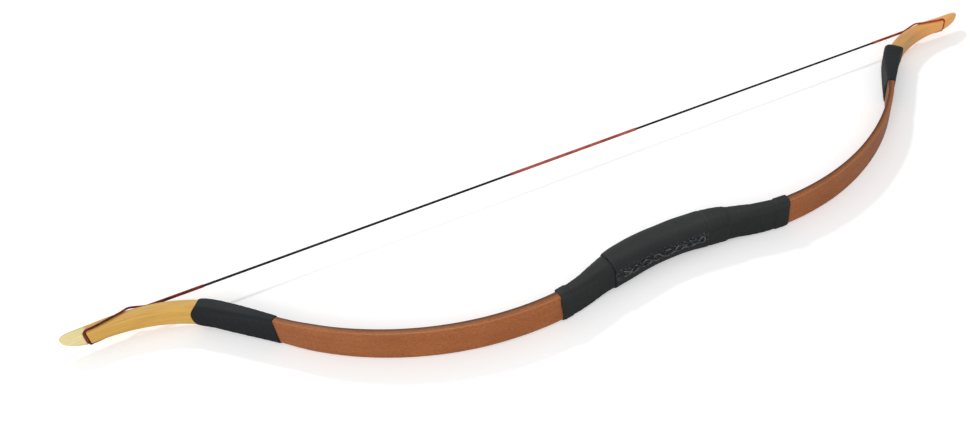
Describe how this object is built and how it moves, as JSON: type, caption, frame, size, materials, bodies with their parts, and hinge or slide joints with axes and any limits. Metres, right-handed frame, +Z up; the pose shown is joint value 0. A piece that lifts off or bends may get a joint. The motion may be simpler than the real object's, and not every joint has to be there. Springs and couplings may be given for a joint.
{
  "type": "recurve bow",
  "caption": "Strung traditional recurve bow with a laced leather grip, leather covered bending limbs, stiff wooden tips and a served string that draws and bends the limbs.",
  "frame": {"origin": "middle of the bottom of the bounding box, with the strung bow lying on its side", "axes": "+X along the string towards the upper tip, +Y the way the string is drawn, +Z up across the width of the limbs"},
  "size_m": [1.248, 0.2364, 0.0408],
  "materials": {
    "riser_wood": "oiled",
    "black_leather": "satin",
    "black_lace": "waxed cord",
    "black_wrap": "satin",
    "core_wood": "matte",
    "lamination": "satin fibre sheet",
    "brown_leather": "satin",
    "pale_wood": "oiled",
    "string_strands": "waxed",
    "loop_thread": "waxed",
    "red_thread": "waxed"
  },
  "bodies": {
    "grip": {"riser": "riser_wood", "grip_leather": "black_leather", "grip_lacing": "black_lace", "upper_grip_wrap": "black_wrap", "lower_grip_wrap": "black_wrap"},
    "upper_limb": {"upper_limb_core": "core_wood", "upper_back_lamination": "lamination", "upper_belly_lamination": "lamination", "upper_limb_leather": "brown_leather"},
    "upper_tip": {"upper_tip_lever": "pale_wood", "upper_tip_wrap": "black_wrap"},
    "upper_string": {"upper_string_strands": "string_strands", "upper_loop_serving": "loop_thread", "upper_string_loop": "loop_thread"},
    "lower_limb": {"lower_limb_core": "core_wood", "lower_back_lamination": "lamination", "lower_belly_lamination": "lamination", "lower_limb_leather": "brown_leather"},
    "lower_tip": {"lower_tip_lever": "pale_wood", "lower_tip_wrap": "black_wrap"},
    "lower_string": {"lower_string_strands": "string_strands", "lower_loop_serving": "loop_thread", "lower_string_loop": "loop_thread"},
    "nocking_point": {"string_middle": "string_strands", "middle_serving": "red_thread"}
  },
  "joints": [
    {"name": "upper_limb_bend", "type": "hinge", "parent": "grip", "child": "upper_limb", "pos_m": [0.2164, -0.10636, 0.02039], "axis": [0, 0, 1], "range_deg": [0, 15.65], "stiffness_Nm_per_rad": 290, "deforming": ["upper_limb_core", "upper_back_lamination", "upper_belly_lamination", "upper_limb_leather"]},
    {"name": "upper_tip_bend", "type": "hinge", "parent": "upper_limb", "child": "upper_tip", "pos_m": [0.3491, -0.05072, 0.02039], "axis": [0, 0, 1], "range_deg": [0, 15.65], "stiffness_Nm_per_rad": 290},
    {"name": "upper_string_swing", "type": "hinge", "parent": "upper_tip", "child": "upper_string", "pos_m": [0.59452, 0.10044, 0.02039], "axis": [0, 0, -1], "range_deg": [0, 69.1]},
    {"name": "lower_limb_bend", "type": "hinge", "parent": "grip", "child": "lower_limb", "pos_m": [-0.2164, -0.10636, 0.02039], "axis": [0, 0, -1], "range_deg": [0, 15.65], "stiffness_Nm_per_rad": 290, "deforming": ["lower_limb_core", "lower_back_lamination", "lower_belly_lamination", "lower_limb_leather"]},
    {"name": "lower_tip_bend", "type": "hinge", "parent": "lower_limb", "child": "lower_tip", "pos_m": [-0.3491, -0.05072, 0.02039], "axis": [0, 0, -1], "range_deg": [0, 15.65], "stiffness_Nm_per_rad": 290},
    {"name": "lower_string_swing", "type": "hinge", "parent": "lower_tip", "child": "lower_string", "pos_m": [-0.59452, 0.10044, 0.02039], "axis": [0, 0, 1], "range_deg": [0, 69.1]},
    {"name": "string_draw", "type": "slide", "parent": "grip", "child": "nocking_point", "axis": [0, 1, 0], "range_m": [0, 0.5], "deforming": ["string_middle", "middle_serving"]}
  ],
  "couplings": [
    {"joint": "lower_limb_bend", "follows": "upper_limb_bend", "ratio": 1},
    {"joint": "upper_tip_bend", "follows": "upper_limb_bend", "ratio": 1},
    {"joint": "lower_tip_bend", "follows": "upper_limb_bend", "ratio": 1},
    {"joint": "upper_string_swing", "follows": "upper_limb_bend", "ratio": 4.4134},
    {"joint": "lower_string_swing", "follows": "upper_limb_bend", "ratio": 4.4134},
    {"joint": "string_draw", "follows": "upper_limb_bend", "m_per_rad": 1.8309}
  ]
}
